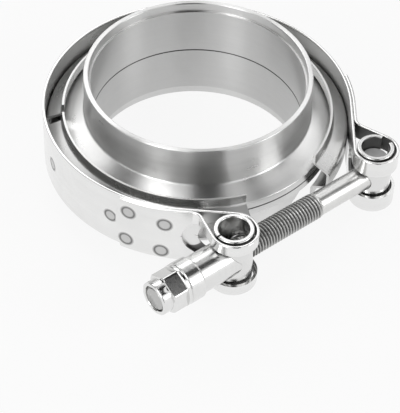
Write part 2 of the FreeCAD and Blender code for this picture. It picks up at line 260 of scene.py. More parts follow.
class BoltSizes(bpy.types.PropertyGroup):
    """Sizes of the T-bolt and what runs on it."""

    thread_radius: length("Thread radius", "Outer radius of the thread", 3.95)
    thread_pitch: length("Thread pitch", "Distance from crest to crest", 1.0583)
    thread_depth: length("Thread depth", "Depth of the thread's grooves", 0.62)
    shank_radius: length("Shank radius", "Radius of the plain shank", 3.6)
    head_half_height: length("Half head", "Half of the T-head's length", 6.2)
    collar_radius: length("Collar radius", "Outer radius of the thrust collar", 6.45)
    nut_flats: length("Across flats", "Size of the nut's hexagon", 11.11)
    nut_base_radius: length("Base radius", "Radius of the nut's base flange", 6.4)
    nut_ring_radius: length("Locking ring", "Radius of the crimped locking ring", 5.2)
    nut_ring_bore: length("Ring bore", "Bore of the locking ring's recess", 4.0)


class Finishes(bpy.types.PropertyGroup):
    """Colours and polish of the steels."""

    flange_colour: shade("Flange colour", "Turned flanges", 0.74, 0.74, 0.735)
    strap_colour: shade("Strap colour", "Bright strip", 0.82, 0.82, 0.815)
    inner_colour: shade("Inner colour", "The strip's unpolished inner side", 0.44, 0.44, 0.435)
    segment_colour: shade("Segment colour", "Pressed channel", 0.61, 0.61, 0.605)
    barrel_colour: shade("Barrel colour", "Rolled barrels and sleeve", 0.76, 0.76, 0.755)
    bolt_colour: shade("Bolt colour", "Rolled thread and shank", 0.72, 0.72, 0.71)
    nut_colour: shade("Nut colour", "Nut and collar", 0.78, 0.78, 0.775)
    flange_polish: share("Flange roughness", "Roughness of the turned flanges", 0.3)
    strap_polish: share("Strap roughness", "Roughness of the strip", 0.17)
    segment_polish: share("Segment roughness", "Roughness of the channel", 0.28)
    fitting_polish: share("Fitting roughness", "Roughness of collar and barrels", 0.19)
    bolt_polish: share("Bolt roughness", "Roughness of the T-bolt", 0.3)
    nut_polish: share("Nut roughness", "Roughness of the lock nut", 0.12)


class StudioSettings(bpy.types.PropertyGroup):
    """The camera's place, the room and its lamps."""

    camera_reach: length("Camera reach", "Level distance from the pipe's axis", 395.5)
    camera_height: length("Camera height", "Height above the joint", 362.0)
    bearing: angle("Bearing", "Camera's place round the axis, from the opening", math.radians(-40))
    yaw: angle("Yaw", "How far the view turns from the axis", 0.0044)
    tilt: angle("Tilt", "How far the view looks down", 0.7924)
    roll: angle("Roll", "Turn of the view about its own line", 0.0318)
    lens: bpy.props.FloatProperty(
        name="Lens", description="Focal length", default=155.2, min=1.0,
        subtype="DISTANCE_CAMERA")
    room_light: share("Room light", "Level of the even light round the object", 0.55)
    lamp_level: share("Lamp level", "Share of every lamp's level", 1.0)


# --- plane shapes: points are complex numbers --------------------------------

class Bend:
    """An arc of a sheet's middle line; turn is +1 to the left, -1 to the right."""

    def __init__(self, centre, radius, turn):
        self.centre = centre
        self.radius = radius
        self.turn = turn

    def point(self, heading):
        """Where the bend has the given heading."""
        return self.centre - 1j * np.exp(1j * heading) * self.turn * self.radius


def ring_spot(radius, degrees):
    """A point at an angle counted from the opening."""
    return -1j * radius * np.exp(1j * math.radians(degrees))


def joining_heading(first, second):
    """The heading of the straight run from one bend to the next."""
    span = second.centre - first.centre
    offset = second.turn * second.radius - first.turn * first.radius
    return np.angle(span) - math.asin(offset / abs(span))


def trace(bends, start_heading, end_heading, step, end_run=0.0):
    """The middle line through the bends: points, headings and the bend each is in.

    A point on a straight run has the number of the bend before it plus a half.
    """
    joins = [joining_heading(a, b) for a, b in zip(bends, bends[1:])]
    line = []
    last = bends[0].point(start_heading) - end_run * np.exp(1j * start_heading)

    def run(end, heading, place):
        count = int(abs(end - last) / step) + 1
        if abs(end - last) > step / 100:
            for part in np.arange(count) / count:
                line.append((last + (end - last) * part, heading, place))

    for index, bend in enumerate(bends):
        enter = start_heading if index == 0 else joins[index - 1]
        leave = end_heading if index == len(joins) else joins[index]
        turned = (leave - enter) * bend.turn % math.tau * bend.turn
        run(bend.point(enter), enter, index - 0.5)
        count = int(abs(turned) * bend.radius / step) + 2
        for part in np.arange(count) / count:
            heading = enter + turned * part
            line.append((bend.point(heading), heading, index))
        last = bend.point(leave)
    finish = last + end_run * np.exp(1j * end_heading)
    run(finish, end_heading, len(bends) - 0.5)
    line.append((finish, end_heading, line[-1][2]))
    return [np.array(column) for column in zip(*line)]


def rounded_outline(corners, steps=5):
    """A closed outline from corners and their radii, each round met by short guards.

    The guards keep smooth shading inside the round and off the flats beside it.
    """
    outline = []
    spots = [complex(*corner[:2]) for corner in corners]
    for index, (here, corner) in enumerate(zip(spots, corners)):
        radius = corner[2]
        before = spots[index - 1] - here
        after = spots[(index + 1) % len(spots)] - here
        before, after = before / abs(before), after / abs(after)
        half = abs(np.angle(after / before)) / 2
        tuck = radius / math.tan(half)
        guard = 0.25 * radius
        middle = here + (before + after) / abs(before + after) * radius / math.sin(half)
        first = here + before * tuck
        final = here + after * tuck
        outline.append(first + before * guard)
        turn = np.angle((final - middle) / (first - middle))
        for step in range(steps + 1):
            outline.append(middle + (first - middle) * np.exp(1j * turn * step / steps))
        outline.append(final + after * guard)
    return outline


def small_arc(along, radius, size, degrees):
    """Places along an axis, with their distances from it, on the round of an edge."""
    return [(along + size * math.cos(turn), radius + size * math.sin(turn))
            for turn in np.radians(degrees)]


# --- meshes -------------------------------------------------------------------

def add_object(name, data):
    """Put a mesh, a lamp or a camera into the scene."""
    item = bpy.data.objects.new(name, data)
    bpy.context.scene.collection.objects.link(item)
    return item


def mesh_object(name, mesh, body, node):
    """Put a finished mesh into the scene and hand it to the frame."""
    piece = add_object(name, mesh)
    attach(piece, body)
    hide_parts(node)


def plain_mesh(name, verts, faces, *materials, edges=()):
    """A mesh with its materials."""
    mesh = bpy.data.meshes.new(name)
    mesh.from_pydata(verts, edges, faces)
    for material in materials:
        mesh.materials.append(material)
    return mesh


def close_and_smooth(mesh, sharp_deg=35.0):
    """Join doubled points, turn the faces outwards and shade smooth between edges."""
    work = bmesh.new()
    work.from_mesh(mesh)
    bmesh.ops.remove_doubles(work, verts=work.verts, dist=WELD_DISTANCE)
    bmesh.ops.dissolve_degenerate(work, dist=WELD_DISTANCE / 10, edges=work.edges)
    bmesh.ops.recalc_face_normals(work, faces=work.faces)
    work.to_mesh(mesh)
    work.free()
    mesh.shade_smooth()
    mesh.set_sharp_from_angle(angle=math.radians(sharp_deg))


def grid_faces(rows, columns, wrap=False):
    """Quads over a grid of points stored row by row; wrap joins its ends both ways."""
    faces = []
    spare = 0 if wrap else 1
    for row in range(rows - spare):
        here, beyond = row * columns, (row + 1) % rows * columns
        for column in range(columns - spare):
            beside = (column + 1) % columns
            faces.append((here + column, here + beside, beyond + beside, beyond + column))
    return faces


def on_bolt(mesh):
    """Lay a mesh that was made round Z along the bolt's line."""
    x, y, z = BOLT_AXIS
    mesh.transform(Matrix(((0, 0, 1, x), (1, 0, 0, y), (0, 1, 0, z), (0, 0, 0, 1))))


# --- node helpers ---------------------------------------------------------------

def feed(tree, node, feeds):
    """Give a node's inputs links or values of their own."""
    for key, value in feeds.items():
        if isinstance(value, bpy.types.NodeSocket):
            tree.links.new(value, node.inputs[key])
        else:
            node.inputs[key].default_value = value


def put(tree, kind, feeds=None, **settings):
    """Add a node, with its settings and what feeds its inputs."""
    node = tree.nodes.new(kind)
    for key, value in settings.items():
        setattr(node, key, value)
    feed(tree, node, feeds or {})
    return node


def calc(tree, operation, *values):
    """The result of one sum."""
    node = put(tree, "ShaderNodeMath", dict(enumerate(values)), operation=operation)
    return node.outputs[0]


def ramp(tree, value, low, high, start=0.0, end=1.0, **settings):
    """What goes from start to end while a value goes from low to high."""
    node = put(tree, "ShaderNodeMapRange", {
        "Value": value, "From Min": low, "From Max": high, "To Min": start, "To Max": end},
        **settings)
    return node.outputs["Result"]


def blend(tree, factor, first, second):
    """A colour between two."""
    node = put(tree, "ShaderNodeMix", {"Factor": factor, "A": first, "B": second},
               data_type="RGBA")
    return node.outputs["Result"]


def diagonal(tree, first, second):
    """The root of the sum of two squares."""
    return calc(tree, "SQRT", calc(tree, "ADD", calc(tree, "MULTIPLY", first, first),
                                   calc(tree, "MULTIPLY", second, second)))


def vector_calc(tree, operation, first, second):
    """The outputs of a sum of two vectors."""
    return put(tree, "ShaderNodeVectorMath", {0: first, 1: second}, operation=operation).outputs


def from_centre(tree, place, centre):
    """The three parts of a place, counted from a centre."""
    near = vector_calc(tree, "SUBTRACT", place, centre)[0]
    return put(tree, "ShaderNodeSeparateXYZ", {0: near}).outputs


def new_tree(name, kind, inputs, outputs):
    """A node group, with what its inputs give and the node that takes its outputs.

    Each row of the inputs and outputs is a kind of socket and then the sockets' names.
    """
    tree = bpy.data.node_groups.new(name, kind)
    for side, rows in (("INPUT", inputs), ("OUTPUT", outputs)):
        for socket_kind, *labels in rows:
            for label in labels:
                tree.interface.new_socket(label, in_out=side,
                                          socket_type="NodeSocket" + socket_kind)
    entry = tree.nodes.new("NodeGroupInput")
    return tree, entry.outputs, tree.nodes.new("NodeGroupOutput")


def shared_tree(name):
    """A node group that is built once and then used again."""
    return bpy.data.node_groups.get(name) or GROUPS[name](name)


def use_group(tree, name, feeds):
    """Place a shared shader group in a material; returns its outputs."""
    return put(tree, "ShaderNodeGroup", feeds, node_tree=shared_tree(name)).outputs


def new_material(name):
    """A material, with its tree and its surface."""
    material = bpy.data.materials.new(name)
    material.use_nodes = True
    return material, material.node_tree, material.node_tree.nodes["Principled BSDF"]


# --- geometry trees -------------------------------------------------------------

def finish_tree(tree, leave, geometry, finish):
    """End a geometry tree in real geometry with its material."""
    real = put(tree, "GeometryNodeRealizeInstances", {"Geometry": geometry})
    dressed = put(tree, "GeometryNodeSetMaterial", {"Geometry": real.outputs[0], "Material": finish})
    feed(tree, leave, {"Geometry": dressed.outputs[0]})
    return tree


def section_sweep(name):
    """A closed section carried round Z, through part of a turn or all of it."""
    tree, value, leave = new_tree(
        name, "GeometryNodeTree",
        [("Geometry", "Geometry"), ("Float", "Radius", "Start", "Turn"), ("Int", "Steps"),
         ("Bool", "Full Circle"), ("Material", "Finish")], [("Geometry", "Geometry")])
    section = put(tree, "GeometryNodeMeshToCurve", {"Mesh": value["Geometry"]})
    part = put(tree, "GeometryNodeCurveArc", {
        "Resolution": value["Steps"], "Radius": value["Radius"],
        "Start Angle": value["Start"], "Sweep Angle": value["Turn"]})
    circle = put(tree, "GeometryNodeCurvePrimitiveCircle", {
        "Resolution": value["Steps"], "Radius": value["Radius"]})
    path = put(tree, "GeometryNodeSwitch", {
        "Switch": value["Full Circle"], "False": part.outputs["Curve"],
        "True": circle.outputs["Curve"]}, input_type="GEOMETRY")
    swept = put(tree, "GeometryNodeCurveToMesh", {
        "Curve": path.outputs[0], "Profile Curve": section.outputs[0], "Fill Caps": True})
    return finish_tree(tree, leave, swept.outputs[0], value["Finish"])


def rolled_thread(name):
    """A bolt's stem from its tip: right-hand thread, run-out and plain shank."""
    tree, value, leave = new_tree(
        name, "GeometryNodeTree",
        [("Geometry", "Geometry"),
         ("Float", "Length", "Thread Length", "Radius", "Depth", "Pitch", "Tip Radius",
          "Shank Radius"),
         ("Int", "Rows", "Columns"), ("Material", "Finish")], [("Geometry", "Geometry")])
    grid = put(tree, "GeometryNodeMeshGrid", {
        "Size X": 1.0, "Size Y": 1.0, "Vertices X": value["Rows"],
        "Vertices Y": calc(tree, "ADD", value["Columns"], 1)})
    position = put(tree, "GeometryNodeInputPosition").outputs[0]
    spot = put(tree, "ShaderNodeSeparateXYZ", {0: position}).outputs
    along = calc(tree, "MULTIPLY", calc(tree, "ADD", spot["X"], 0.5), value["Length"])
    part_turn = calc(tree, "ADD", spot["Y"], 0.5)
    turn = calc(tree, "MULTIPLY", part_turn, math.tau)
    phase = calc(tree, "FRACT", calc(tree, "ADD", calc(
        tree, "SUBTRACT", calc(tree, "DIVIDE", along, value["Pitch"]), part_turn), 2.0))
    wave = calc(tree, "ABSOLUTE", calc(tree, "MULTIPLY_ADD", phase, 2.0, -1.0))
    groove = calc(tree, "MULTIPLY", ramp(tree, wave, 0.14, 0.84), value["Depth"])
    threaded = calc(tree, "SUBTRACT", value["Radius"], groove)
    past = calc(tree, "DIVIDE", calc(tree, "SUBTRACT", along, value["Thread Length"]), value["Pitch"])
    run_out = ramp(tree, past, -0.6, 0.4, threaded, value["Shank Radius"])
    radius = calc(tree, "MINIMUM", run_out, calc(tree, "ADD", value["Tip Radius"], along))
    place = put(tree, "ShaderNodeCombineXYZ", {
        "X": calc(tree, "MULTIPLY", radius, calc(tree, "COSINE", turn)),
        "Y": calc(tree, "MULTIPLY", radius, calc(tree, "SINE", turn)), "Z": along})
    stem = put(tree, "GeometryNodeSetPosition", {
        "Geometry": grid.outputs["Mesh"], "Position": place.outputs[0]})
    tip, end = [put(tree, "GeometryNodeMeshCircle", {
        "Vertices": value["Columns"], "Radius": value[label]}, fill_type="NGON").outputs["Mesh"]
        for label in ("Tip Radius", "Shank Radius")]
    end_place = put(tree, "ShaderNodeCombineXYZ", {"Z": value["Length"]})
    end_moved = put(tree, "GeometryNodeTransform", {
        "Geometry": end, "Translation": end_place.outputs[0]})
    whole = put(tree, "GeometryNodeJoinGeometry")
    for part in (stem.outputs[0], tip, end_moved.outputs[0]):
        tree.links.new(part, whole.inputs[0])
    return finish_tree(tree, leave, whole.outputs[0], value["Finish"])


def grow(tree_name, seed_mesh, values):
    """The plain mesh that a geometry tree makes from a seed mesh and named values."""
    host = add_object("seed", seed_mesh)
    modifier = host.modifiers.new("shape", "NODES")
    modifier.node_group = shared_tree(tree_name)
    for item in modifier.node_group.interface.items_tree:
        if item.item_type == "SOCKET" and item.in_out == "INPUT" and item.name in values:
            modifier[item.identifier] = values[item.name]
    bpy.context.view_layer.update()
    ready = host.evaluated_get(bpy.context.evaluated_depsgraph_get())
    mesh = bpy.data.meshes.new_from_object(ready)
    host.modifiers.remove(modifier)
    bpy.data.objects.remove(host)
    return mesh


def sweep(outline, radius, start_deg, turn_deg, steps, finish):
    """Carry a closed outline of radius and height round Z; angles run from +X."""
    count = len(outline)
    seed = plain_mesh("section", [(spot.real - radius, -spot.imag, 0) for spot in outline], [],
                      edges=[(index, (index + 1) % count) for index in range(count)])
    mesh = grow("section_sweep", seed, {
        "Radius": radius, "Start": math.radians(start_deg), "Turn": math.radians(turn_deg),
        "Steps": steps, "Full Circle": turn_deg == 360, "Finish": finish})
    close_and_smooth(mesh)
    return mesh


# --- finishes ---------------------------------------------------------------------

def fine_lines(name):
    """Fine lines that run along one coordinate and vary across the other."""
    tree, value, leave = new_tree(name, "ShaderNodeTree",
                                  [("Float", "Across", "Along", "Lines", "Stretch")],
                                  [("Float", "Height", "Tone")])
    place = put(tree, "ShaderNodeCombineXYZ", {
        "X": calc(tree, "MULTIPLY", value["Across"], value["Lines"]),
        "Y": calc(tree, "DIVIDE", calc(tree, "MULTIPLY", value["Along"], value["Lines"]),
                  value["Stretch"])})
    for label, scale, detail, rough in (("Height", 1.0, 3.0, 0.6), ("Tone", 0.12, 2.0, 0.5)):
        noise = put(tree, "ShaderNodeTexNoise", {
            "Vector": place.outputs[0], "Scale": scale, "Detail": detail, "Roughness": rough},
            noise_dimensions="2D")
        feed(tree, leave, {label: noise.outputs["Fac"]})
    return tree


def handling_marks(name):
    """Soft patches where a bare steel surface has been touched and wiped."""
    tree, value, leave = new_tree(name, "ShaderNodeTree", [("Vector", "Place"), ("Float", "Size")],
                                  [("Float", "Patches")])
    noise = put(tree, "ShaderNodeTexNoise", {
        "Vector": value["Place"], "Scale": calc(tree, "DIVIDE", 1.0, value["Size"]),
        "Detail": 4.0, "Roughness": 0.55, "Distortion": 0.6})
    feed(tree, leave, {"Patches": ramp(tree, noise.outputs["Fac"], 0.35, 0.68)})
    return tree


def weld_mark(name):
    """The round print of a welding electrode: a dished middle in a darker ring."""
    tree, value, leave = new_tree(name, "ShaderNodeTree",
                                  [("Vector", "Place", "Middle"), ("Float", "Radius")],
                                  [("Float", "Ring", "Dish")])
    reach = vector_calc(tree, "DISTANCE", value["Place"], value["Middle"])["Value"]
    part = calc(tree, "DIVIDE", reach, value["Radius"])
    ring = calc(tree, "SUBTRACT", 1.0, calc(
        tree, "ABSOLUTE", calc(tree, "MULTIPLY", calc(tree, "SUBTRACT", part, 0.82), 3.0)))
    feed(tree, leave, {
        "Ring": calc(tree, "MAXIMUM", ring, 0.0),
        "Dish": ramp(tree, part, 0.62, 1.0, 1.0, 0.0, interpolation_type="SMOOTHSTEP")})
    return tree


def round_the_axis(name):
    """Distance from an upright line, and the way round it, both in metres."""
    tree, value, leave = new_tree(name, "ShaderNodeTree",
                                  [("Vector", "Place", "Centre"), ("Float", "Reach")],
                                  [("Float", "Radius", "Way Round", "Height")])
    spot = from_centre(tree, value["Place"], value["Centre"])
    turn = calc(tree, "ARCTAN2", spot["Y"], spot["X"])
    feed(tree, leave, {"Radius": diagonal(tree, spot["X"], spot["Y"]),
                       "Way Round": calc(tree, "MULTIPLY", turn, value["Reach"]),
                       "Height": spot["Z"]})
    return tree


GROUPS = {"section_sweep": section_sweep, "rolled_thread": rolled_thread,
          "fine_lines": fine_lines, "handling_marks": handling_marks, "weld_mark": weld_mark,
          "round_the_axis": round_the_axis}


def around(tree, place, centre, reach=FITTING_REACH):
    """The distance from an upright line, the way round it and the height."""
    return use_group(tree, "round_the_axis", {"Place": place, "Centre": centre, "Reach": reach})


def about_bolt(tree, place):
    """The three parts of a place from the bolt's line, and its distance from that line."""
    spot = from_centre(tree, place, BOLT_AXIS)
    return spot, diagonal(tree, spot["Y"], spot["Z"])


def barrel_axis(barrel_x):
    """A barrel's upright line."""
    return (barrel_x + CLAMP_X, BARREL_Y + CLAMP_Y, 0.0)


def grey(colour, level):
    """A colour at another brightness, with its alpha."""
    return tuple(min(part * level, 1.0) for part in colour) + (1.0,)


def steel(name, colour, roughness, lines_from, lines_kind, marks=(), brushed_round=None,
          brushed=0.0, painted_shade_and_joint=None):
    """A bare stainless finish: fine lines, wiped patches and any weld marks.

    lines_from gives the coordinates across and along the lines from the place.
    brushed_round is the upright line that the brushing runs round, and the last
    function paints shade dark and dull, with the flanges' dark joint line.
    """
    material, tree, surface = new_material(name)
    lines, stretch, line_depth = lines_kind
    place = put(tree, "ShaderNodeTexCoord").outputs["Object"]
    across, along = lines_from(tree, place)
    grain = use_group(tree, "fine_lines", {
        "Across": across, "Along": along, "Lines": lines, "Stretch": stretch})
    patches = use_group(tree, "handling_marks", {"Place": place, "Size": 14 * MM})["Patches"]
    tone = calc(tree, "MULTIPLY_ADD", grain["Tone"], 0.6, calc(tree, "MULTIPLY", patches, 0.4))
    height = calc(tree, "MULTIPLY", grain["Height"], line_depth)
    tint = blend(tree, tone, grey(colour, 0.93), grey(colour, 1.06))
    rough = ramp(tree, tone, 0.0, 1.0, roughness * 0.82, roughness * 1.22)
    dark = grey(colour, 0.16)
    for mark in marks:
        weld = use_group(tree, "weld_mark", mark(tree, place))
        stain = calc(tree, "MAXIMUM", weld["Ring"], calc(tree, "MULTIPLY", weld["Dish"], 0.34))
        tint = blend(tree, stain, tint, dark)
        rough = calc(tree, "MULTIPLY_ADD", weld["Dish"], 0.14, rough)
        height = calc(tree, "MULTIPLY_ADD", weld["Dish"], -MARK_DEPTH, height)
    # Painted shade, and the flanges' joint line, darken and dull the steel here.
    if painted_shade_and_joint:
        darkening = painted_shade_and_joint(tree, place)
        tint = blend(tree, darkening, tint, dark)
        rough = calc(tree, "MULTIPLY_ADD", darkening, 0.25, rough)
    if brushed_round:
        near = vector_calc(tree, "SUBTRACT", place, brushed_round)[0]
        feed(tree, surface, {
            "Tangent": vector_calc(tree, "CROSS_PRODUCT", (0.0, 0.0, 1.0), near)[0],
            "Anisotropic": brushed, "Anisotropic Rotation": 0.25})
    bump = put(tree, "ShaderNodeBump", {"Height": height, "Strength": 1.0, "Distance": 1.0})
    feed(tree, surface, {"Base Color": tint, "Roughness": rough, "Normal": bump.outputs[0],
                         "Metallic": 1.0})
    return material


def upright_lines(centre, reach, turned=False):
    """Lines round an upright axis, left by rolling a strip or turning a solid piece."""
    def lines_from(tree, place):
        spot = around(tree, place, centre, reach)
        across = calc(tree, "ADD", spot["Radius"], spot["Height"]) if turned else spot["Height"]
        return across, spot["Way Round"]
    return lines_from


def bolt_lines(tree, place):
    """Lines left by turning about the bolt's line."""
    spot, reach = about_bolt(tree, place)
    turn = calc(tree, "ARCTAN2", spot["Z"], spot["Y"])
    return calc(tree, "ADD", spot["X"], reach), calc(tree, "MULTIPLY", turn, FITTING_REACH)


def flange_joint_and_bore_shade(tree, place):
    """The dark line where the two flanges meet, and painted shade that darkens the bore."""
    spot = around(tree, place, PIPE_AXIS)
    line = ramp(tree, calc(tree, "ABSOLUTE", spot["Height"]), *JOINT_FADE, 1.0, 0.0)
    # Painted shade in the bore, besides the dark joint line.
    return calc(tree, "MAXIMUM", line, ramp(tree, spot["Radius"], *BORE_FADE, 0.2, 0.0))


def strap_layer_shade(tree, place):
    """Painted shade between the strap's layers, but for a round spot in each window."""
    mark = mirrored_mark(STRAP_R, WINDOW_SPOT_DEG, WINDOW_SPOT_Z, WINDOW_SPOT_R)(tree, place)
    reach = vector_calc(tree, "DISTANCE", mark["Place"], mark["Middle"])["Value"]
    darkening = ramp(tree, reach, WINDOW_SPOT_R - 0.25 * MM, WINDOW_SPOT_R, 0.0, 0.88)
    spot = around(tree, place, CLAMP_AXIS)
    off_ring = ramp(tree, spot["Radius"], STRAP_R + 0.2 * MM, STRAP_R + 1.2 * MM)
    # On the ring layer the painted shade grows towards the bottom; off the ring it covers all.
    below = ramp(tree, spot["Height"], -1.2 * MM, 1.4 * MM, 1.0, 0.0)
    return calc(tree, "MULTIPLY", darkening, calc(tree, "MAXIMUM", off_ring, below))


def barrel_bore_shade(tree, place):
    """Painted shade, with duller steel, inside the rolled barrels."""
    shares = []
    # How dark the painted shade is inside the nut's barrel and the bolt's barrel.
    for x, outer, level in ((NUT_BARREL_X, NUT_BARREL_R, 0.12), (BOLT_BARREL_X, BOLT_BARREL_R, 0.85)):
        radius = around(tree, place, barrel_axis(x))["Radius"]
        inner = outer - BARREL_WALL
        shares.append(ramp(tree, radius, inner + 0.1 * MM, inner + 0.25 * MM, level, 0.0))
    return calc(tree, "MAXIMUM", *shares)


def thread_groove_shade(tree, place):
    """Painted shade down in the thread's grooves, and inside the barrels."""
    spot, reach = about_bolt(tree, place)
    from_barrel = around(tree, place, barrel_axis(NUT_BARREL_X))["Radius"]
    grooves = ramp(tree, reach, *THREAD_FADE, 1.0, 0.0)
    # Less painted shade past the thread's start, near the tip and inside the nut's barrel.
    for part in (ramp(tree, spot["X"], THREAD_START_X - 1 * MM, THREAD_START_X, 0.95, 0.0),
                 ramp(tree, spot["X"], BOLT_TIP_X + 0.1 * MM, BOLT_TIP_X + 0.6 * MM, 0.32),
                 ramp(tree, from_barrel, NUT_BARREL_R - 0.5 * MM, NUT_BARREL_R, 0.25)):
        grooves = calc(tree, "MULTIPLY", grooves, part)
    return calc(tree, "MAXIMUM", grooves, calc(tree, "MULTIPLY", barrel_bore_shade(tree, place), 0.7))


def mirrored_mark(radius, degrees, height, size):
    """A weld mark on both sides of the opening."""
    spot = ring_spot(radius, degrees)

    def inputs(tree, place):
        near = from_centre(tree, place, CLAMP_AXIS)
        folded = put(tree, "ShaderNodeCombineXYZ", {
            "X": calc(tree, "ABSOLUTE", near["X"]), "Y": near["Y"], "Z": near["Z"]})
        return {"Place": folded.outputs[0], "Middle": (spot.real, spot.imag, height),
                "Radius": size}
    return inputs


# --- operators --------------------------------------------------------------------

class VBAND_OT_flanges(bpy.types.Operator):
    """Turn the two weld flanges"""

    bl_idname = "vband.flanges"
    bl_label = "Weld Flanges"
    bl_options = {"REGISTER", "UNDO"}

    def execute(self, context):
        sizes = context.scene.vband_flange
        look = context.scene.vband_finish
        finish = steel("turned_stainless", look.flange_colour, look.flange_polish,
                       upright_lines(PIPE_AXIS, sizes.neck_radius, turned=True), TURNED_GRAIN,
                       brushed_round=PIPE_AXIS, brushed=0.95, painted_shade_and_joint=flange_joint_and_bore_shade)
        back = sizes.rim_edge + (sizes.rim_radius - sizes.neck_radius) * math.tan(sizes.rim_slope)
        mouth = sizes.height - sizes.socket_depth
        edge = sizes.edge_round
        corners = [
            (sizes.bore_radius, 0, edge), (sizes.rim_radius, 0, edge),
            (sizes.rim_radius, sizes.rim_edge, edge), (sizes.neck_radius, back, sizes.neck_fillet),
            (sizes.neck_radius, sizes.height, edge), (sizes.socket_radius, sizes.height, edge),
            (sizes.socket_radius, mouth, edge / 3), (sizes.bore_radius, mouth, edge / 3),
        ]
        for name, side in (("upper", 1), ("lower", -1)):
            outline = [complex(spot.real, side * spot.imag) for spot in rounded_outline(corners)]
            mesh = sweep(outline, sizes.rim_radius, 0, 360, FLANGE_STEPS, finish)
            mesh.name = "turned_" + name
            mesh_object("turned_flange_" + name, mesh, MAIN_BODY, name + "_flange")
        return {"FINISHED"}


class VBAND_OT_strap(bpy.types.Operator):
    """Bend the strap round its loops, with its windows and welded ends"""

    bl_idname = "vband.strap"
    bl_label = "Strap"
    bl_options = {"REGISTER", "UNDO"}

    def middle_line(self, sizes):
        """The strap's middle line, from the nut's folded end to the bolt's."""
        band_r = sizes.radius - sizes.thickness / 2
        fold_r = sizes.radius + LAYER_GAP + sizes.thickness / 2
        parts = {}
        for side, barrel_x, barrel_r, run in (
                (-1, NUT_BARREL_X, NUT_BARREL_R, FOLD_RUN),
                (1, BOLT_BARREL_X, BOLT_BARREL_R, BOLT_FOLD_RUN)):
            loop = Bend(complex(barrel_x, BARREL_Y - LOOP_DROP),
                        barrel_r + LOOP_CLEARANCE + sizes.thickness / 2, 1)
            from_opening = math.atan2(abs(loop.centre.real), -loop.centre.imag)
            spread = math.acos((band_r + loop.radius) / abs(loop.centre))
            leave = side * math.degrees(from_opening + spread)
            along = ring_spot(1, leave - side * 90)
            fold = Bend(ring_spot(fold_r + FOLD_BEND_R, leave) + along * run, FOLD_BEND_R, -1)
            parts[side] = (loop, fold)
        tip_deg = FOLD_END_DEG + math.degrees(FOLD_END_BULGE / (fold_r + sizes.thickness / 2))
        chain = [Bend(0j, fold_r, 1), parts[-1][1], parts[-1][0], Bend(0j, band_r, -1),
                 parts[1][0], parts[1][1], Bend(0j, fold_r, 1)]
        return trace(chain, -math.radians(tip_deg), math.radians(tip_deg), STRAP_STEP)

    def window_half(self, points, places):
        """Half of the window's height at each point, and where its round ends are."""
        half = np.zeros(len(points))
        noses = []
        for loop_place, side, full in ((2, -1, NUT_WINDOW_HALF), (4, 1, BOLT_WINDOW_HALF)):
            half[places == loop_place] = full
            for layer, end_deg in (("fold", WINDOW_FOLD_END_DEG), ("ring", WINDOW_RING_END_DEG)):
                before = (layer == "fold") == (side < 0)
                zone = (places < loop_place) if before else (places > loop_place)
                zone &= (abs(places - loop_place) < 2.5) & (points.real * side > 0)
                zone &= points.imag < 0
                along = ring_spot(1, side * (end_deg - 90))
                reach = (points * np.conj(along)).real
                part = np.clip(reach / full, 0, 1)
                half[zone] = (full * np.sqrt(1 - (1 - part) ** 2))[zone]
                noses.append((zone, reach, full))
        return half, noses

    def stations(self, way, headings, half, noses):
        """Where the strip is divided, and half of its window's height there.

        The bends set how far apart the places are, and the windows' ends have more.
        """
        chosen = [0.0, way[-1]]
        turned = np.concatenate([[0], np.cumsum(np.abs(np.diff(headings)))])
        measure = way / STATION_RUN + turned / STATION_TURN
        chosen += list(np.interp(np.arange(0, measure[-1]), measure, way))
        for zone, reach, full in noses:
            inside = np.flatnonzero(zone)
            order = inside[np.argsort(reach[inside])]
            for bow in np.linspace(0, math.pi / 2, NOSE_STATIONS):
                chosen.append(np.interp(full * (1 - math.cos(bow)), reach[order], way[order]))
        chosen = np.unique(np.round(np.array(chosen), 8))
        keep = [0]
        for index in range(1, len(chosen)):
            if chosen[index] - chosen[keep[-1]] > LEAST_STATION:
                keep.append(index)
        window = np.interp(chosen[keep], way, half)
        window[window < LEAST_WINDOW_HALF] = 0
        return chosen[keep], window

    def section(self, sizes, gap):
        """The upper half of the strip's section: how far out and how high each point is."""
        slab = sizes.thickness / 2
        edge = sizes.edge_round
        shoulder = sizes.width / 2 - edge
        rise = [gap + (shoulder - gap) * part for part in FLATS]
        quarter = [math.pi / 2 * step / EDGE_STEPS for step in range(EDGE_STEPS + 1)]
        section = [(-slab, z) for z in rise]
        section += [(-slab + edge - edge * math.cos(a), shoulder + edge * math.sin(a))
                    for a in quarter[1:]]
        section += [(slab - edge + edge * math.cos(a), shoulder + edge * math.sin(a))
                    for a in reversed(quarter)]
        return section + [(slab, z) for z in reversed(rise[:-1])]

    def bowed(self, here, whole, bow):
        """Where a place along the strip ends up, as its ends are cut in a bow."""
        spot = here
        for end, inward in ((0.0, 1), (whole, -1)):
            from_end = (here - end) * inward
            if from_end < FOLD_END_REACH:
                spot = end + inward * (from_end + bow * (1 - from_end / FOLD_END_REACH))
        return spot

    def coats(self, spots, window, columns, ring_r):
        """The finish of each face: the sheet's sides, the windows' edges and the ends."""
        # Faces near the loops on the inner side, and the windows' round ends, take the painted shade.
        near_loop = np.abs(np.angle(spots * 1j)) < math.radians(PAINTED_SHADE_END_DEG)
        on_ring = np.abs(spots) < ring_r
        loop_inside = len(FLATS) + 2 * EDGE_STEPS
        coats = []
        for row in range(len(spots) - 1):
            for column in range(columns - 1):
                if near_loop[row] and column >= loop_inside:
                    coats.append(PAINTED_SHADE_COAT)
                elif on_ring[row] and column < len(FLATS) - 1:
                    coats.append(INNER_COAT)
                else:
                    coats.append(BRIGHT_COAT)
        for here, beyond in zip(window, window[1:]):
            if here > 0 or beyond > 0:
                # Edges round the windows' round ends take the painted shade.
                coats.append(PAINTED_SHADE_COAT if abs(here - beyond) > 1e-7 else BRIGHT_COAT)
        return coats + [BRIGHT_COAT] * 2

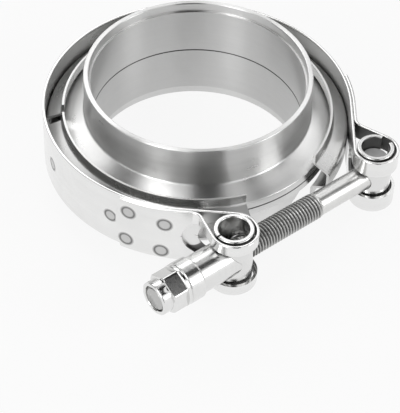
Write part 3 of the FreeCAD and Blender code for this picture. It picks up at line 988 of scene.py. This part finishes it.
    def execute(self, context):
        sizes = context.scene.vband_strap
        look = context.scene.vband_finish
        marks = [mirrored_mark(radius, degrees, height * MM, size)
                 for radius, size, spots in (
                     (sizes.radius + LAYER_GAP + sizes.thickness, FOLD_MARK_R, FOLD_MARKS),
                     (sizes.radius, RING_MARK_R, RING_MARKS))
                 for degrees, height in spots]
        rolled = (upright_lines(CLAMP_AXIS, sizes.radius), STRIP_GRAIN)
        # The second finish paints shade between the layers and round the windows' ends.
        finishes = (
            steel("bright_strip", look.strap_colour, look.strap_polish, *rolled, marks, CLAMP_AXIS, 0.5),
            steel("painted_shade_strip", look.strap_colour, look.segment_polish, *rolled, painted_shade_and_joint=strap_layer_shade),
            steel("inner_strip", look.inner_colour, look.segment_polish, *rolled))

        points, headings, places = self.middle_line(sizes)
        way = np.concatenate([[0], np.cumsum(np.abs(np.diff(points)))])
        half, noses = self.window_half(points, places)
        at, window = self.stations(way, headings, half, noses)
        flank = 1j * np.exp(1j * headings)
        bow_r = ((sizes.width / 2) ** 2 + FOLD_END_BULGE ** 2) / (2 * FOLD_END_BULGE)
        verts = []
        for here, gap in zip(at, window):
            for side_shift, z in self.section(sizes, gap):
                spot = self.bowed(here, way[-1], bow_r - math.sqrt(max(bow_r ** 2 - z ** 2, 0)))
                place = np.interp(spot, way, points) + side_shift * np.interp(spot, way, flank)
                verts.append((place.real + CLAMP_X, place.imag + CLAMP_Y, z))
        columns = len(verts) // len(at)
        faces = grid_faces(len(at), columns)
        for row in range(len(at) - 1):
            if window[row] > 0 or window[row + 1] > 0:
                first = row * columns
                faces.append((first, first + columns, first + 2 * columns - 1, first + columns - 1))
        last_row = (len(at) - 1) * columns
        faces.append(tuple(range(columns)))
        faces.append(tuple(range(last_row + columns - 1, last_row - 1, -1)))
        count = len(verts)
        verts += [(x, y, -z) for x, y, z in verts]
        faces += [tuple(count + index for index in reversed(face)) for face in faces]
        mesh = plain_mesh("strap", verts, faces, *finishes)
        coats = self.coats(np.interp(at, way, points), window, columns, sizes.radius)
        mesh.polygons.foreach_set("material_index", np.array(coats * 2, dtype=np.int32))
        close_and_smooth(mesh)
        mesh_object("strap", mesh, MAIN_BODY, "band_strap")
        return {"FINISHED"}


class VBAND_OT_segments(bpy.types.Operator):
    """Press the V-segments that grip the flanges' rims"""

    bl_idname = "vband.segments"
    bl_label = "V-Segments"
    bl_options = {"REGISTER", "UNDO"}

    def channel(self, sizes, band_inner):
        """The channel's closed outline."""
        half = sizes.thickness / 2
        radius = sizes.bend_radius + half
        tuck = math.tan((math.pi / 2 - sizes.leg_slope) / 2)
        base_r = band_inner - half
        lip_r = sizes.lip_radius + half
        base_corner = sizes.base_half + half * tuck
        base_z = base_corner - radius * tuck
        lip_z = base_corner + (base_r - lip_r) * math.tan(sizes.leg_slope) + radius * tuck
        bends = [Bend(complex(lip_r + radius, lip_z), radius, 1),
                 Bend(complex(base_r - radius, base_z), radius, -1),
                 Bend(complex(base_r - radius, -base_z), radius, -1),
                 Bend(complex(lip_r + radius, -lip_z), radius, 1)]
        down = -math.pi / 2
        points, headings, _ = trace(bends, down, down, CHANNEL_STEP, sizes.lip_height - lip_z)
        aside = 1j * np.exp(1j * headings) * half
        left, right = list(points + aside), list(points - aside)
        for index, bow in enumerate((0.9, 0.45, 0.2)):
            ease = (1 - math.cos(bow)) * 0.5
            for spot in (index, -1 - index):
                left[spot] -= aside[spot] * ease
                right[spot] += aside[spot] * ease
        return left + right[::-1]

    def execute(self, context):
        strap = context.scene.vband_strap
        look = context.scene.vband_finish
        finish = steel("pressed_channel", look.segment_colour, look.segment_polish,
                       upright_lines(CLAMP_AXIS, strap.radius), CHANNEL_GRAIN,
                       brushed_round=CLAMP_AXIS, brushed=0.6)
        outline = self.channel(context.scene.vband_segment, strap.radius - strap.thickness)
        for name, start, end in SEGMENTS:
            mesh = sweep(outline, strap.radius, start - 90, end - start, SEGMENT_STEPS, finish)
            mesh.transform(Matrix.Translation(CLAMP_AXIS))
            mesh_object("channel_" + name, mesh, MAIN_BODY, "v_segment_" + name)
        return {"FINISHED"}


class VBAND_OT_barrels(bpy.types.Operator):
    """Finish the rolled trunnion barrels and the sleeve"""

    bl_idname = "vband.barrels"
    bl_label = "Barrels and Sleeve"
    bl_options = {"REGISTER", "UNDO"}

    def sleeve(self, finish):
        """The sleeve's skin; its far end is a saddle that fits the barrel."""
        angles = np.arange(AROUND) * math.tau / AROUND
        seat_r = NUT_BARREL_R + SEAT_CLEARANCE
        edge = 0.35 * MM
        lip = 0.12 * MM
        rings = [(SLEEVE_END_X, BOLT_HOLE_R), (SLEEVE_END_X, SLEEVE_R - edge * 1.2)]
        rings += small_arc(SLEEVE_END_X + edge, SLEEVE_R - edge, edge, EDGE_TURNS[::-1])
        rings.append((SLEEVE_END_X + 1.3 * edge, SLEEVE_R))
        saddle = ((SLEEVE_R, edge), (SLEEVE_R, lip), (SLEEVE_R - lip, 0.0), (BOLT_HOLE_R, 0.0))
        verts = [(radius * math.cos(a), radius * math.sin(a), along)
                 for along, radius in rings for a in angles]
        for radius, inset in saddle:
            for a in angles:
                aside = radius * math.cos(a)
                seat = NUT_BARREL_X - math.sqrt(max(seat_r ** 2 - aside ** 2, 0))
                verts.append((aside, radius * math.sin(a), seat - inset))
        faces = grid_faces(len(rings) + len(saddle), AROUND, wrap=True)
        mesh = plain_mesh("sleeve", verts, faces, finish)
        on_bolt(mesh)
        close_and_smooth(mesh)
        return mesh

    def execute(self, context):
        look = context.scene.vband_finish
        for node, barrel_x in (("nut_trunnion", NUT_BARREL_X), ("bolt_trunnion", BOLT_BARREL_X)):
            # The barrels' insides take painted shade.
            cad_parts[node].data.materials[0] = steel(
                "rolled_barrel_" + node, look.barrel_colour, look.fitting_polish,
                upright_lines(barrel_axis(barrel_x), NUT_BARREL_R), BARREL_GRAIN,
                painted_shade_and_joint=barrel_bore_shade)
        finish = steel("turned_sleeve", look.barrel_colour, look.fitting_polish, bolt_lines,
                       TURNED_GRAIN)
        mesh_object("saddle_sleeve", self.sleeve(finish), MAIN_BODY, "spacer_sleeve")
        return {"FINISHED"}


class VBAND_OT_bolt(bpy.types.Operator):
    """Roll the T-bolt's thread and forge its head"""

    bl_idname = "vband.bolt"
    bl_label = "T-Bolt"
    bl_options = {"REGISTER", "UNDO"}

    def head(self, sizes):
        """The T-head: a round bar that lies along the barrel."""
        x, y, _ = barrel_axis(BOLT_BARREL_X)
        angles = np.arange(HEAD_STEPS) * math.tau / HEAD_STEPS
        head_r = BOLT_BARREL_R - BARREL_WALL - HEAD_CLEARANCE
        work = bmesh.new()
        low = [work.verts.new((x + head_r * math.cos(a), y + head_r * math.sin(a),
                               -sizes.head_half_height)) for a in angles]
        bottom = work.faces.new(low)
        raised = bmesh.ops.extrude_face_region(work, geom=[bottom])
        lifted = [item for item in raised["geom"] if isinstance(item, bmesh.types.BMVert)]
        bmesh.ops.translate(work, verts=lifted, vec=(0, 0, 2 * sizes.head_half_height))
        bmesh.ops.recalc_face_normals(work, faces=work.faces)
        ends = [edge for edge in work.edges if edge.calc_face_angle(0) > math.radians(40)]
        bmesh.ops.bevel(work, geom=ends, offset=HEAD_BEVEL, segments=4, profile=0.5,
                        affect="EDGES")
        mesh = bpy.data.meshes.new("t_head")
        work.to_mesh(mesh)
        work.free()
        close_and_smooth(mesh)
        return mesh

    def execute(self, context):
        sizes = context.scene.vband_bolt
        look = context.scene.vband_finish
        finish = steel("rolled_thread_steel", look.bolt_colour, look.bolt_polish, bolt_lines,
                       THREAD_GRAIN, painted_shade_and_joint=thread_groove_shade)
        stem = grow("rolled_thread", bpy.data.meshes.new("seed"), {
            "Length": BOLT_BARREL_X - BOLT_TIP_X, "Thread Length": THREAD_START_X - BOLT_TIP_X,
            "Radius": sizes.thread_radius, "Depth": sizes.thread_depth,
            "Pitch": sizes.thread_pitch, "Tip Radius": sizes.thread_radius - sizes.thread_depth,
            "Shank Radius": sizes.shank_radius, "Rows": THREAD_ROWS, "Columns": THREAD_COLUMNS,
            "Finish": finish})
        stem.transform(Matrix.Translation((0, 0, BOLT_TIP_X)))
        on_bolt(stem)
        close_and_smooth(stem, 50)
        work = bmesh.new()
        work.from_mesh(stem)
        work.from_mesh(self.head(sizes))
        work.to_mesh(stem)
        work.free()
        mesh_object("threaded_t_bolt", stem, MAIN_BODY, "t_bolt")
        return {"FINISHED"}


class VBAND_OT_nut(bpy.types.Operator):
    """Make the thrust collar and the crimped lock nut"""

    bl_idname = "vband.nut"
    bl_label = "Collar and Lock Nut"
    bl_options = {"REGISTER", "UNDO"}

    def nut(self, sizes, finish):
        """The nut's skin: each ring of points is round, crimped or cut to the hexagon."""
        angles = np.arange(AROUND) * math.tau / AROUND
        soft = 0.2 * MM
        crisp = 0.4 * MM
        flat_r = sizes.nut_flats / 2
        to_flat = (angles + math.pi / 6) % (math.pi / 3) - math.pi / 6
        hexagon = np.minimum(flat_r / np.cos(to_flat), flat_r / math.cos(math.pi / 6) - 0.6 * soft)
        crimp = NUT_CRIMP_DEPTH * np.maximum(np.cos(3 * angles), 0) ** 6
        base, ring, bore = sizes.nut_base_radius, sizes.nut_ring_radius, sizes.nut_ring_bore
        thread = sizes.thread_radius + 0.05 * MM
        floor = NUT_END_X + NUT_RECESS_DEPTH
        base_rings = [(COLLAR_END_X, thread), (COLLAR_END_X, base - soft)]
        base_rings += small_arc(COLLAR_END_X - soft, base - soft, soft, (30, 60, 90))
        base_rings += [(COLLAR_END_X - 2 * soft, base), (NUT_BASE_END_X + 2 * soft, base)]
        base_rings += small_arc(NUT_BASE_END_X + soft, base - soft, soft, (90, 120, 150, 180))
        hexagon_rings = [(NUT_BASE_END_X, base - 1.3 * soft), (NUT_BASE_END_X - 0.5 * soft, base + soft)]
        hexagon_rings += [(NUT_HEX_END_X + depth * MM, ring + (0.15 + 1.62 * depth ** 0.5) * MM)
                          for depth in np.linspace(1.1, 0, 9)]
        crimped_rings = [(NUT_HEX_END_X - 0.4 * MM, ring), (NUT_END_X + 1.0 * MM, ring)]
        crimped_rings += small_arc(NUT_END_X + crisp, ring - crisp, crisp, EDGE_TURNS)
        crimped_rings += [(NUT_END_X, bore + 0.15 * MM), (NUT_END_X + 0.15 * MM, bore)]
        verts = []
        for kind, rings in ((ROUND, base_rings), (HEXAGON, hexagon_rings),
                            (ROUND, [(NUT_HEX_END_X - 0.05 * MM, ring)]),
                            (CRIMPED, crimped_rings), (ROUND, [(floor, bore), (floor, thread)])):
            for along, radius in rings:
                reach = np.full(AROUND, radius)
                if kind == HEXAGON:
                    reach = np.minimum(hexagon, radius)
                elif kind == CRIMPED:
                    reach = radius - crimp
                verts += [(r * math.cos(a), r * math.sin(a), along) for r, a in zip(reach, angles)]
        faces = grid_faces(len(verts) // AROUND, AROUND, wrap=True)
        mesh = plain_mesh("lock_nut", verts, faces, finish)
        on_bolt(mesh)
        close_and_smooth(mesh, 28)
        return mesh

    def execute(self, context):
        sizes = context.scene.vband_bolt
        look = context.scene.vband_finish
        finish = steel("turned_nut_steel", look.nut_colour, look.fitting_polish, bolt_lines,
                       COLLAR_GRAIN)
        edge = 0.42 * MM
        corners = [(BOLT_HOLE_R, COLLAR_END_X, edge / 2), (sizes.collar_radius, COLLAR_END_X, edge),
                   (sizes.collar_radius, SLEEVE_END_X, edge), (BOLT_HOLE_R, SLEEVE_END_X, edge / 2)]
        collar = sweep(rounded_outline(corners), sizes.collar_radius, 0, 360, COLLAR_STEPS, finish)
        on_bolt(collar)
        mesh_object("turned_collar", collar, COLLAR_BODY, "thrust_collar")
        finish = steel("bright_nut_steel", look.nut_colour, look.nut_polish, bolt_lines,
                       NUT_GRAIN)
        mesh_object("crimped_lock_nut", self.nut(sizes, finish), NUT_BODY, "lock_nut")
        return {"FINISHED"}


class VBAND_OT_studio(bpy.types.Operator):
    """Set the floor, the lamps and the camera"""

    bl_idname = "vband.studio"
    bl_label = "Studio"
    bl_options = {"REGISTER", "UNDO"}

    def floor(self):
        """A pale floor that sweeps out of sight."""
        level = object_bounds()[0][2]
        material, tree, surface = new_material("pale_floor")
        place = put(tree, "ShaderNodeTexCoord").outputs["Object"]
        noise = put(tree, "ShaderNodeTexNoise", {"Vector": place, "Scale": 6.0, "Detail": 3.0})
        feed(tree, surface, {"Roughness": 0.8, "Base Color": blend(
            tree, noise.outputs["Fac"], (0.95, 0.95, 0.95, 1), (0.97, 0.97, 0.97, 1))})
        white = put(tree, "ShaderNodeEmission", {"Color": WHITE, "Strength": 1.0})
        seen = put(tree, "ShaderNodeMixShader", {
            0: calc(tree, "MULTIPLY", self.seen_directly(tree), FLOOR_SHOWN_WHITE),
            1: surface.outputs[0], 2: white.outputs[0]})
        feed(tree, tree.nodes["Material Output"], {"Surface": seen.outputs[0]})
        corners = [(x * FLOOR_REACH, y * FLOOR_REACH, level)
                   for x, y in ((-1, -1), (1, -1), (1, 1), (-1, 1))]
        add_object("floor", plain_mesh("floor", corners, [(0, 1, 2, 3)], material))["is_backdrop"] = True

    def seen_directly(self, tree):
        """One for rays that show a surface, and nothing for those that light it."""
        rays = put(tree, "ShaderNodeLightPath").outputs
        return calc(tree, "MAXIMUM", rays["Is Camera Ray"], calc(
            tree, "MAXIMUM", rays["Is Glossy Ray"], rays["Is Transmission Ray"]))

    def level_way(self, turn, lift):
        """The way to a place at a turn round the table and a lift above it."""
        return Vector((math.cos(lift) * math.cos(turn), math.cos(lift) * math.sin(turn),
                       math.sin(lift)))

    def streak_way(self, turn, lift):
        """One of the ways that a turned flange mirrors at the given turn."""
        aside = Vector((-math.sin(turn), math.cos(turn), 0))
        share_aside = VIEW_LEVEL * math.sin(turn)
        return aside * share_aside + self.level_way(turn, lift) * math.sqrt(1 - share_aside ** 2)

    def dark_cards(self, bearing):
        """Dark cards round the table, which the bright steel mirrors."""
        verts, faces = [], []
        front = Matrix.Rotation(bearing - math.pi / 2, 3, "Z")
        patches = [(self.level_way, card) for card in CARDS]
        patches += [(self.streak_way, card) for card in STREAKS]
        for way, (left, right, low, high) in patches:
            faces += [tuple(len(verts) + index for index in face)
                      for face in grid_faces(CARD_STEPS + 1, CARD_STEPS + 1)]
            for row in range(CARD_STEPS + 1):
                lift = math.radians(low + (high - low) * row / CARD_STEPS)
                for column in range(CARD_STEPS + 1):
                    turn = math.radians(left + (right - left) * column / CARD_STEPS)
                    verts.append(front @ way(turn, lift) * CARD_REACH)
        material, tree, surface = new_material("dark_card")
        feed(tree, surface, {"Base Color": (0.02, 0.02, 0.02, 1), "Roughness": 0.9})
        cards = add_object("dark_cards", plain_mesh("dark_cards", verts, faces, material))
        cards.visible_camera = False
        cards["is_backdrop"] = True

    def room(self, scene, level):
        """Even light, seen as white behind the object and in its steel."""
        world = bpy.data.worlds.new("room")
        scene.world = world
        world.use_nodes = True
        tree = world.node_tree
        feed(tree, tree.nodes["Background"], {
            "Color": WHITE, "Strength": ramp(tree, self.seen_directly(tree), 0.0, 1.0, level, 1.0)})

    def lamp(self, name, level, bearing, turn, lift, wide, tall):
        """A soft lamp that faces the object."""
        data = bpy.data.lights.new(name, "AREA")
        data.energy = level * math.pi * wide * tall
        data.shape = "RECTANGLE"
        data.size = wide
        data.size_y = tall
        lamp = add_object(name, data)
        place = self.level_way(math.radians(turn - 90) + bearing, math.radians(lift)) * LAMP_REACH
        lamp.location = place
        lamp.rotation_euler = (-place).to_track_quat("-Z", "Y").to_euler()

    def camera(self, scene, studio):
        """The camera, placed round the pipe's axis and aimed near the joint."""
        view = bpy.data.cameras.new("camera")
        view.sensor_fit = "HORIZONTAL"
        view.sensor_width = 36.0
        view.lens = studio.lens
        view.clip_start = 0.01
        round_axis = Matrix.Rotation(studio.bearing, 3, "Z")
        yaw, tilt, roll = studio.yaw, studio.tilt, studio.roll
        ahead = Vector((math.sin(yaw) * math.cos(tilt), math.cos(yaw) * math.cos(tilt),
                        -math.sin(tilt)))
        level = Vector((math.cos(yaw), -math.sin(yaw), 0))
        above = level.cross(ahead)
        right = math.cos(roll) * level + math.sin(roll) * above
        up = -math.sin(roll) * level + math.cos(roll) * above
        axes = Matrix((round_axis @ right, round_axis @ up, round_axis @ -ahead)).transposed()
        place = round_axis @ Vector((0, -studio.camera_reach, studio.camera_height))
        scene.camera = add_object("camera", view)
        scene.camera.matrix_world = Matrix.Translation(place) @ axes.to_4x4()

    def execute(self, context):
        scene = context.scene
        studio = scene.vband_studio
        scene.view_settings.view_transform = "Standard"
        self.floor()
        self.dark_cards(studio.bearing)
        self.room(scene, studio.room_light)
        for name, turn, lift, wide, tall, level in LAMPS:
            self.lamp(name, level * studio.lamp_level, studio.bearing, turn, lift, wide, tall)
        self.camera(scene, studio)
        return {"FINISHED"}


class VBAND_PT_panel(bpy.types.Panel):
    """The clamp's pieces, in the order in which they are built"""

    bl_label = "V-Band Clamp"
    bl_idname = "VBAND_PT_panel"
    bl_space_type = "VIEW_3D"
    bl_region_type = "UI"
    bl_category = "V-Band"

    def draw(self, context):
        column = self.layout.column(align=True)
        for operator in OPERATORS:
            column.operator(operator.bl_idname)


OPERATORS = (VBAND_OT_flanges, VBAND_OT_strap, VBAND_OT_segments, VBAND_OT_barrels,
             VBAND_OT_bolt, VBAND_OT_nut, VBAND_OT_studio)
SETTINGS = (("vband_flange", FlangeSizes), ("vband_strap", StrapSizes),
            ("vband_segment", SegmentSizes), ("vband_bolt", BoltSizes),
            ("vband_finish", Finishes), ("vband_studio", StudioSettings))


def register():
    """Add the settings, the operators and the panel."""
    for name, group in SETTINGS:
        bpy.utils.register_class(group)
        setattr(bpy.types.Scene, name, bpy.props.PointerProperty(type=group))
    for item in OPERATORS + (VBAND_PT_panel,):
        bpy.utils.register_class(item)


def unregister():
    """Take them out again."""
    for item in (VBAND_PT_panel,) + OPERATORS[::-1]:
        bpy.utils.unregister_class(item)
    for name, group in SETTINGS[::-1]:
        delattr(bpy.types.Scene, name)
        bpy.utils.unregister_class(group)


def main():
    """Build every piece in order."""
    register()
    for build in (bpy.ops.vband.flanges, bpy.ops.vband.strap, bpy.ops.vband.segments,
                  bpy.ops.vband.barrels, bpy.ops.vband.bolt, bpy.ops.vband.nut,
                  bpy.ops.vband.studio):
        build()


if __name__ == "__main__":
    main()
